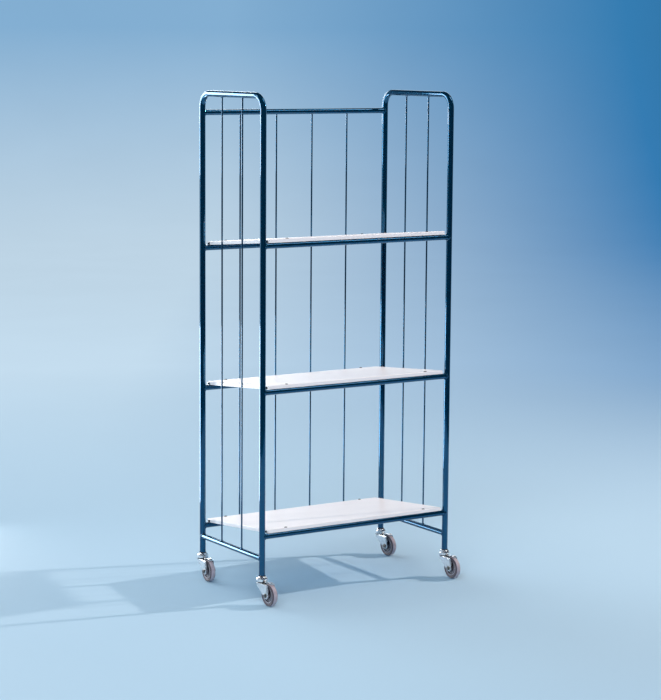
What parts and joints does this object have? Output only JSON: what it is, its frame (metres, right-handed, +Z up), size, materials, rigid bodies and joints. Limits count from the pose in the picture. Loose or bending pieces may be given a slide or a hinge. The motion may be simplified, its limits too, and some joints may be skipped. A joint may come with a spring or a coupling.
{
  "type": "linen trolley",
  "caption": "Open-fronted tube-frame linen trolley with sloping sheet shelves between two hoop ends, rod back and sides, on swivel castors.",
  "frame": {"origin": "floor level, in the middle of the rectangle that the whole trolley covers seen from above", "axes": "+Z up; +X along the shelves, to the right seen from the open front; -Y towards the open front, where the castors trail"},
  "size_m": [0.8532, 0.5344, 1.8],
  "materials": {
    "frame_paint": "gloss blue powder coat",
    "shelf_enamel": "satin white powder coat",
    "chrome": "bright plated",
    "zinc_steel": "zinc plated",
    "bearing_steel": "polished",
    "grey_plastic": "moulded, satin",
    "grey_tyre": "soft non-marking rubber",
    "black_plastic": "moulded"
  },
  "bodies": {
    "frame": {"back_rod_1": "frame_paint", "back_rod_2": "frame_paint", "back_rod_3": "frame_paint", "back_rod_4": "frame_paint", "bottom_front_rail": "frame_paint", "bottom_rear_rail": "frame_paint", "bottom_shelf": "shelf_enamel", "castor_head_back_left": "chrome", "castor_head_back_right": "chrome", "castor_head_front_left": "chrome", "castor_head_front_right": "chrome", "castor_socket_back_left": "black_plastic", "castor_socket_back_right": "black_plastic", "castor_socket_front_left": "black_plastic", "castor_socket_front_right": "black_plastic", "castor_stem_back_left": "zinc_steel", "castor_stem_back_right": "zinc_steel", "castor_stem_front_left": "zinc_steel", "castor_stem_front_right": "zinc_steel", "cross_rail_left": "frame_paint", "cross_rail_right": "frame_paint", "end_hoop_left": "frame_paint", "end_hoop_right": "frame_paint", "end_rod_left_1": "frame_paint", "end_rod_left_2": "frame_paint", "end_rod_right_1": "frame_paint", "end_rod_right_2": "frame_paint", "middle_front_rail": "frame_paint", "middle_rear_rail": "frame_paint", "middle_shelf": "shelf_enamel", "shelf_plugs": "black_plastic", "shelf_screws": "zinc_steel", "top_rail": "frame_paint", "upper_front_rail": "frame_paint", "upper_rear_rail": "frame_paint", "upper_shelf": "shelf_enamel"},
    "fork_front_left": {"castor_fork_front_left": "chrome", "castor_balls_front_left": "bearing_steel", "castor_axle_front_left": "zinc_steel", "castor_bush_front_left": "zinc_steel"},
    "wheel_front_left": {"castor_wheel_front_left": "grey_plastic", "castor_tyre_front_left": "grey_tyre"},
    "fork_front_right": {"castor_fork_front_right": "chrome", "castor_balls_front_right": "bearing_steel", "castor_axle_front_right": "zinc_steel", "castor_bush_front_right": "zinc_steel"},
    "wheel_front_right": {"castor_wheel_front_right": "grey_plastic", "castor_tyre_front_right": "grey_tyre"},
    "fork_back_left": {"castor_fork_back_left": "chrome", "castor_balls_back_left": "bearing_steel", "castor_axle_back_left": "zinc_steel", "castor_bush_back_left": "zinc_steel"},
    "wheel_back_left": {"castor_wheel_back_left": "grey_plastic", "castor_tyre_back_left": "grey_tyre"},
    "fork_back_right": {"castor_fork_back_right": "chrome", "castor_balls_back_right": "bearing_steel", "castor_axle_back_right": "zinc_steel", "castor_bush_back_right": "zinc_steel"},
    "wheel_back_right": {"castor_wheel_back_right": "grey_plastic", "castor_tyre_back_right": "grey_tyre"}
  },
  "joints": [
    {"name": "swivel_front_left", "type": "hinge", "parent": "frame", "child": "fork_front_left", "pos_m": [-0.40033, -0.17909, 0.078], "axis": [0, 0, 1], "continuous": true},
    {"name": "spin_front_left", "type": "hinge", "parent": "fork_front_left", "child": "wheel_front_left", "pos_m": [-0.39781, -0.22702, 0.04], "axis": [0.9986, 0.0523, 0], "continuous": true},
    {"name": "swivel_front_right", "type": "hinge", "parent": "frame", "child": "fork_front_right", "pos_m": [0.39567, -0.17909, 0.078], "axis": [0, 0, 1], "continuous": true},
    {"name": "spin_front_right", "type": "hinge", "parent": "fork_front_right", "child": "wheel_front_right", "pos_m": [0.39735, -0.22706, 0.04], "axis": [0.9994, 0.0349, 0], "continuous": true},
    {"name": "swivel_back_left", "type": "hinge", "parent": "frame", "child": "fork_back_left", "pos_m": [-0.40033, 0.24691, 0.078], "axis": [0, 0, 1], "continuous": true},
    {"name": "spin_back_left", "type": "hinge", "parent": "fork_back_left", "child": "wheel_back_left", "pos_m": [-0.40284, 0.19898, 0.04], "axis": [0.9986, -0.0523, 0], "continuous": true},
    {"name": "swivel_back_right", "type": "hinge", "parent": "frame", "child": "fork_back_right", "pos_m": [0.39567, 0.24691, 0.078], "axis": [0, 0, 1], "continuous": true},
    {"name": "spin_back_right", "type": "hinge", "parent": "fork_back_right", "child": "wheel_back_right", "pos_m": [0.39986, 0.1991, 0.04], "axis": [0.9962, 0.0872, 0], "continuous": true}
  ]
}
